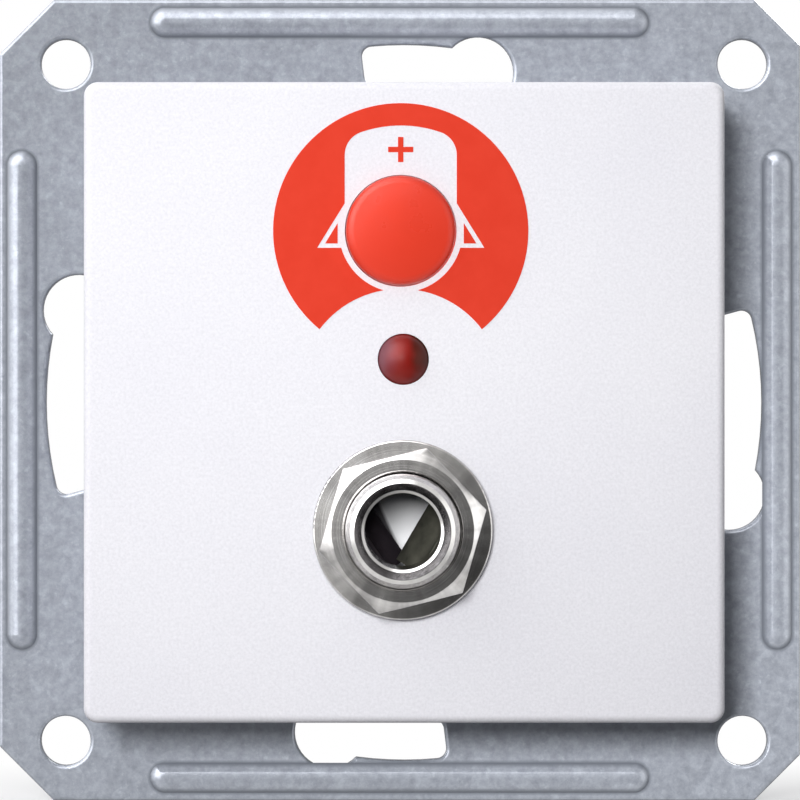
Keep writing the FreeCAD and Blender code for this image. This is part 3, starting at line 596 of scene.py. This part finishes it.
def lamps():
    """Soft key from the upper left, with lamps of their own for the ring, the bore and the rear."""
    meshes = [item for item in scene.objects if item.type == "MESH"]

    def all_but(left_out):
        return [item for item in meshes if item != left_out]

    ring = nodes["support_ring"]
    key = lamp("key_box", place=(-0.030, -0.155, 0.032), aim=(0, 0, 0), size=0.06, power=0.192)
    key.light_linking.receiver_collection = group("not_sheet", all_but(ring))
    key.light_linking.blocker_collection = group("not_button", all_but(nodes["call_button"]))

    sheet = lamp(
        "sheet_box", place=(-0.113, -0.50, 0.122), aim=(0.075, 0, -0.066), size=0.14, power=0.252)
    sheet.data.spread = math.radians(45)
    sheet.light_linking.receiver_collection = group("sheet", [ring])

    rear = lamp(
        "rear_box", place=(0.35, 0.45, 0.45), aim=(0, 0, 0), size=0.40, power=3.8, mirrored=True)
    rear.light_linking.receiver_collection = group("not_floor", all_but(scene.objects["floor"]))

    mouth = Vector((jack_axis.x, nose_tip_y, jack_axis.z))
    bore = lamp(
        "bore_box", place=mouth + Vector((-0.010, -0.28, 0.032)), aim=mouth, size=0.034, power=1.2)
    bore.light_linking.receiver_collection = group(
        "bore", [nodes[name] for name in ("jack_body", "ring_leaf", "tip_leaf")])


def studio_world():
    """White to the camera, soft on matt surfaces; metal mirrors a dark front and a bright upper left."""
    world = bpy.data.worlds.new("studio")
    scene.world = world
    world.use_nodes = True
    world.cycles.sampling_method = "NONE"
    tree = world.node_tree
    tree.nodes.clear()
    path = tree.nodes.new("ShaderNodeLightPath").outputs
    coords = tree.nodes.new("ShaderNodeTexCoord").outputs["Generated"]

    def combine(kind, operation, *values):
        made = tree.nodes.new(kind)
        made.operation = operation
        for socket, value in zip(made.inputs, values):
            if isinstance(value, (int, float, tuple)):
                socket.default_value = value
            else:
                tree.links.new(value, socket)
        return made.outputs

    def vector(operation, *values):
        return combine("ShaderNodeVectorMath", operation, *values)["Vector"]

    def number(operation, *values):
        return combine("ShaderNodeMath", operation, *values)["Value"]

    def curve(direction, stops):
        """Brightness by the angle in degrees from a direction."""
        towards = tuple(Vector(direction).normalized())
        cosine = combine("ShaderNodeVectorMath", "DOT_PRODUCT", coords, towards)["Value"]
        ramp = tree.nodes.new("ShaderNodeValToRGB")
        tree.links.new(number("MULTIPLY_ADD", cosine, 0.5, 0.5), ramp.inputs["Fac"])
        elements = ramp.color_ramp.elements
        places = sorted(((math.cos(math.radians(angle)) + 1) / 2, level) for angle, level in stops)
        while len(elements) < len(places):
            elements.new(0.5)
        for element, (place, level) in zip(elements, places):
            element.position = place
            element.color = grey(level)
        return ramp.outputs["Color"]

    def background(colour=None):
        made = tree.nodes.new("ShaderNodeBackground")
        made.inputs["Color"].default_value = grey(1.0)
        made.inputs["Strength"].default_value = 1.0
        if colour:
            tree.links.new(colour, made.inputs["Color"])
        return made.outputs["Background"]

    def either(factor, first, second):
        made = tree.nodes.new("ShaderNodeMixShader")
        for socket, value in zip(made.inputs, (factor, first, second)):
            tree.links.new(value, socket)
        return made.outputs["Shader"]

    room = curve((0.265, -0.927, -0.265), (
        (0, 0.08), (8, 0.09), (14, 0.15), (22, 0.30), (30, 0.60), (38, 0.85), (60, 0.90), (90, 0.60),
        (118, 0.3), (180, 0.25)))
    window = curve((-0.70, -0.10, 0.70), ((0, 1.0), (30, 1.0), (44, 0.75), (56, 0.3), (66, 0.0)))
    strip = curve((0.93, -0.35, 0.10), ((0, 0.9), (20, 0.75), (36, 0.0)))
    glow = curve((-0.47, -0.75, 0.47), ((0, 1.0), (27, 1.0), (34, 0.7), (41, 0.0)))
    aside = curve((0, -1, 0), ((0, 0.0), (24, 0.0), (31, 1.0), (180, 1.0)))
    side = curve((-0.70, 0.25, 0.70), ((0, 1.0), (36, 1.0), (58, 0.0)))

    mirrored = vector("MULTIPLY_ADD", window, (3.4, 3.4, 3.47), room)
    mirrored = vector("ADD", mirrored, strip)
    mirrored = vector("MULTIPLY_ADD", vector("MULTIPLY", glow, aside), (3.4, 3.4, 3.46), mirrored)
    ambient = vector("MULTIPLY_ADD", side, (1.2, 1.2, 1.22), (0.13, 0.132, 0.137))

    glossy = number("MAXIMUM", path["Is Glossy Ray"], path["Is Transmission Ray"])
    direct = number("LESS_THAN", path["Diffuse Depth"], 0.5)
    unseen = either(number("MULTIPLY", glossy, direct), background(ambient), background(mirrored))
    output = tree.nodes.new("ShaderNodeOutputWorld")
    tree.links.new(either(path["Is Camera Ray"], unseen, background()), output.inputs["Surface"])


def floor_material():
    """Pale floor that keeps the object's shadow, turns white behind it and throws little light back."""
    made = Tree("pale_floor", (0.86, 0.86, 0.87, 1), 0.7)
    pale = made.spread(made.noise(14, 2), (0.85, 0.85, 0.86, 1), (0.88, 0.88, 0.89, 1))
    path = made.node("ShaderNodeLightPath").outputs
    made.feed("Base Color", made.mix(path["Is Diffuse Ray"], pale, grey(0.2)))
    behind = made.ramp(made.split()["Y"], 0.0, 28 * MM, 0.45, 1.0)
    white = made.node("ShaderNodeEmission")
    white.inputs["Color"].default_value = grey(1.0)
    clear = made.node("ShaderNodeBsdfTransparent")

    def either(factor, first, second):
        mixer = made.node("ShaderNodeMixShader")
        for socket, value in zip(mixer.inputs, (factor, first, second)):
            made.link(value, socket)
        return mixer.outputs["Shader"]

    seen = either(made.math("MULTIPLY", behind, path["Is Camera Ray"]),
                  made.shader.outputs["BSDF"], white.outputs["Emission"])
    whole = either(path["Is Glossy Ray"], seen, clear.outputs["BSDF"])
    made.link(whole, made.tree.nodes["Material Output"].inputs["Surface"])
    return made.material


def floor():
    reach = 1.2
    low = cad_low[2]
    mesh = bpy.data.meshes.new("floor")
    mesh.from_pydata(
        [(-reach, -reach, low), (reach, -reach, low), (reach, reach, low), (-reach, reach, low)],
        [], [(0, 1, 2, 3)])
    mesh.materials.append(floor_material())
    made = bpy.data.objects.new("floor", mesh)
    scene.collection.objects.link(made)


dress_all()
soften("jack_nut", 0.12 * MM)
nose_thread()
return_coil()
front_camera()
studio_world()
floor()
lamps()

scene.view_settings.view_transform = "Standard"
